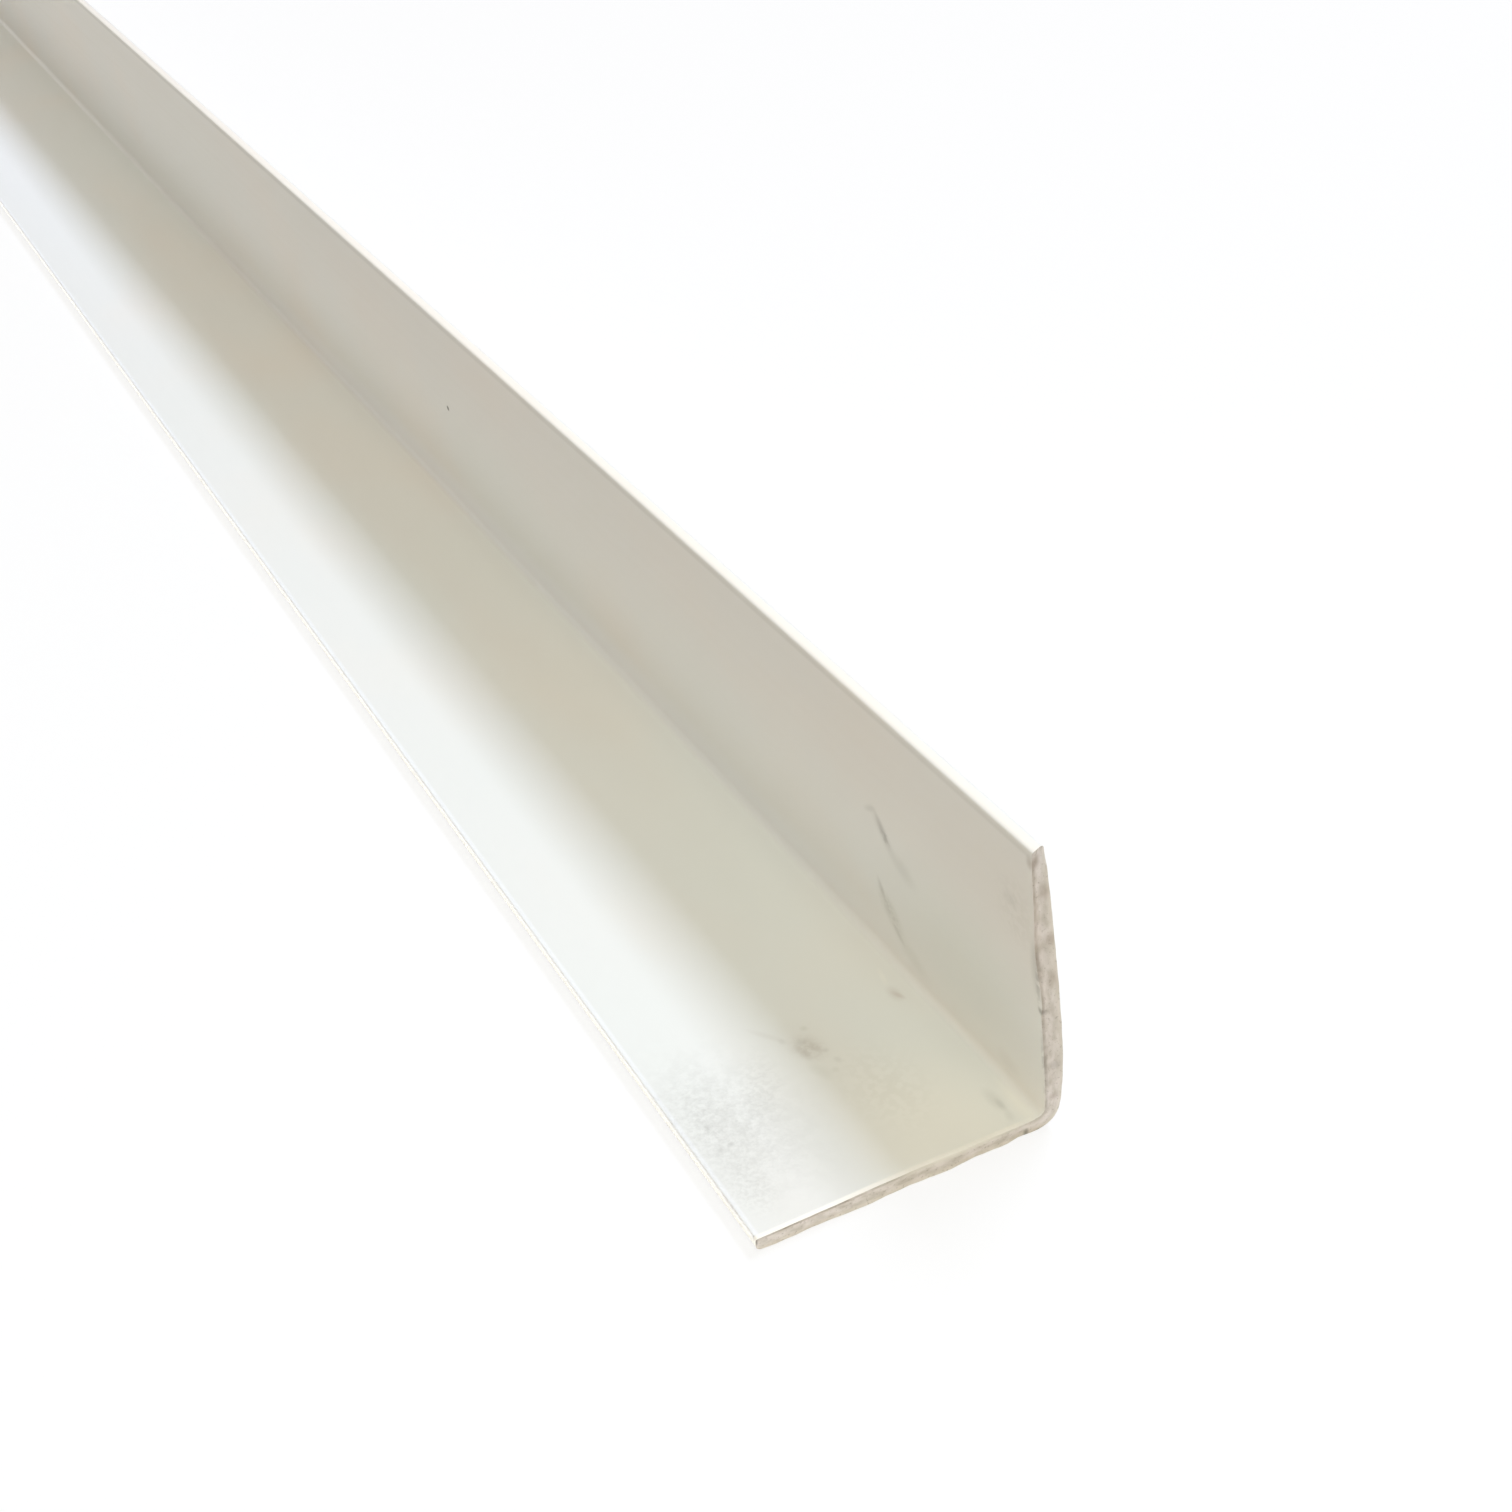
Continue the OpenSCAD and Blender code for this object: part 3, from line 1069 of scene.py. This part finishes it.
@dataclass(frozen=True)
class SoftLamp:
    """A soft box: a rectangle that glows evenly.

    Attributes:
        name: Its name.
        place: Its middle.
        aim: The point that it faces.
        length: Its size along the bar.
        width: Its size across the bar.
        colour: Linear colour of its light.
        watts: Its power.
        unseen: Whether the camera looks through it.
    """

    name: str
    place: Vector
    aim: Vector
    length: float
    width: float
    colour: Triple
    watts: float
    unseen: bool = False

    def build(self) -> Object:
        """Hangs the lamp.

        Returns:
            The lamp's object.
        """
        data = bpy.data.lights.new(self.name, "AREA")
        data.shape = "RECTANGLE"
        data.size = self.length
        data.size_y = self.width
        data.color = self.colour
        data.energy = self.watts
        lamp = bpy.data.objects.new(self.name, data)
        lamp.visible_camera = not self.unseen
        bpy.context.scene.collection.objects.link(lamp)
        back = (self.place - self.aim).normalized()
        side = Vector((1.0, 0.0, 0.0))
        up = back.cross(side).normalized()
        side = up.cross(back)
        turn = Matrix((side, up, back)).transposed().to_4x4()
        lamp.matrix_world = Matrix.Translation(self.place) @ turn
        return lamp


@dataclass(frozen=True)
class Surroundings:
    """The room: an even warm light from all sides, white where the camera or a gloss sees it.

    Attributes:
        colour: Linear colour of the room's light.
        floor_size: Width of the floor.
        floor_gap: How far below the bar the floor lies.
        floor_colour: The floor's own colour, as it lights the bar from below.
        glow: The share of white that the camera sees in the floor near the bar whatever the light.
        fade: Half sizes of the oval outside which the camera sees nothing but white in the floor.
        fade_start: The share of that oval within which the glow stays as it is.
    """

    colour: Triple = (0.401, 0.357, 0.302)
    floor_size: float = 8.0
    floor_gap: float = 0.05 * MM
    floor_colour: str = "#FBF8F2"
    glow: float = 0.8
    fade: Triple = (1.15, 0.75, 1.0)
    fade_start: float = 0.55

    @staticmethod
    def seen(tree: NodeTree) -> NodeSocket:
        """Adds a switch that is 1 for camera, glossy and transmission rays.

        Args:
            tree: The node tree.

        Returns:
            The switch's output.
        """
        path = add_node(tree, "ShaderNodeLightPath")
        gloss = add_node(tree, "ShaderNodeMath", {
            0: path.outputs["Is Glossy Ray"], 1: path.outputs["Is Transmission Ray"]},
            operation="ADD")
        return add_node(tree, "ShaderNodeMath", {
            0: path.outputs["Is Camera Ray"], 1: gloss.outputs["Value"]},
            operation="ADD", use_clamp=True).outputs["Value"]

    def build_world(self) -> World:
        """Fills the room with light.

        Returns:
            The world.
        """
        world = bpy.data.worlds.new("room")
        world.use_nodes = True
        tree = world.node_tree
        tree.nodes.clear()
        light = add_node(tree, "ShaderNodeBackground", {"Color": (*self.colour, 1.0)})
        white = add_node(tree, "ShaderNodeBackground", {"Color": linear("#FFFFFF")})
        mix = add_node(tree, "ShaderNodeMixShader", {
            0: self.seen(tree), 1: light.outputs[0], 2: white.outputs[0]})
        add_node(tree, "ShaderNodeOutputWorld", {"Surface": mix.outputs[0]})
        bpy.context.scene.world = world
        return world

    def build_floor(self, level: float) -> Object:
        """Lays the floor.

        Args:
            level: Height of the bar's underside.

        Returns:
            The floor's object.
        """
        mesh = bmesh.new()
        bmesh.ops.create_grid(mesh, x_segments=1, y_segments=1, size=self.floor_size / 2)
        bmesh.ops.translate(mesh, verts=mesh.verts, vec=(0.0, 0.0, level - self.floor_gap))
        data = bpy.data.meshes.new("floor")
        mesh.to_mesh(data)
        mesh.free()
        material = bpy.data.materials.new("pale_floor")
        material.use_nodes = True
        tree = material.node_tree
        tree.nodes.clear()
        matt = add_node(tree, "ShaderNodeBsdfDiffuse", {"Color": linear(self.floor_colour)})
        paper = add_node(tree, "ShaderNodeBsdfDiffuse", {"Color": linear("#FFFFFF")})
        glow = add_node(tree, "ShaderNodeEmission", {"Color": linear("#FFFFFF")})
        place = add_node(tree, "ShaderNodeTexCoord").outputs["Object"]
        oval = add_node(tree, "ShaderNodeMapping", {"Vector": place, "Scale": self.fade},
                        vector_type="TEXTURE")
        radius = add_node(tree, "ShaderNodeVectorMath", {0: oval.outputs["Vector"]},
                          operation="LENGTH")
        share = add_node(tree, "ShaderNodeMapRange", {
            "Value": radius.outputs["Value"], "From Min": self.fade_start,
            "To Min": self.glow}, interpolation_type="SMOOTHSTEP")
        shown = add_node(tree, "ShaderNodeMixShader", {
            0: share.outputs["Result"], 1: paper.outputs[0], 2: glow.outputs[0]})
        mix = add_node(tree, "ShaderNodeMixShader", {
            0: self.seen(tree), 1: matt.outputs[0], 2: shown.outputs[0]})
        add_node(tree, "ShaderNodeOutputMaterial", {"Surface": mix.outputs[0]})
        data.materials.append(material)
        floor = bpy.data.objects.new("floor", data)
        bpy.context.scene.collection.objects.link(floor)
        return floor


LAMPS = (
    # The window that the light comes through, high behind the upright leg
    SoftLamp("window", Vector((-0.45, 2.35, 3.84)), Vector((-0.45, 0.0, 0.0)), 2.4, 0.96,
             (0.73, 0.81, 1.0), 132.0),
    # What the room throws back over the sawn end, from the front and from above
    SoftLamp("room_front", Vector((1.30, -0.30, 0.50)), Vector((0.50, 0.0, 0.0)), 0.6, 0.6,
             (1.0, 0.67, 0.34), 0.65),
    SoftLamp("room_above", Vector((0.75, -0.10, 0.90)), Vector((0.50, 0.0, 0.0)), 0.5, 0.5,
             (0.91, 1.0, 0.89), 2.62),
    # A white strip on the floor before the flat leg's toe, which the photo shows nearly white
    SoftLamp("floor_strip", Vector((0.0, -0.0287, 0.0001)), Vector((0.0, -0.0287, 1.0)), 1.0,
             0.006, (0.96, 0.98, 1.0), 0.017, unseen=True),
)


def main() -> None:
    """Builds the camera, the bar, the room and its lamps, in that order."""
    logging.basicConfig(level=logging.INFO, format="%(name)s: %(message)s")
    bpy.context.scene.view_settings.view_transform = "Standard"
    Viewpoint().build()
    low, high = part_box(NODE)
    bar = CornerAngle(low, high).build()
    log.info("%s: %d faces", bar.name, len(bar.data.polygons))
    room = Surroundings()
    room.build_world()
    log.info("%s laid", room.build_floor(low.z).name)
    for lamp in LAMPS:
        log.info("%s hung", lamp.build().name)


if __name__ == "__main__":
    main()
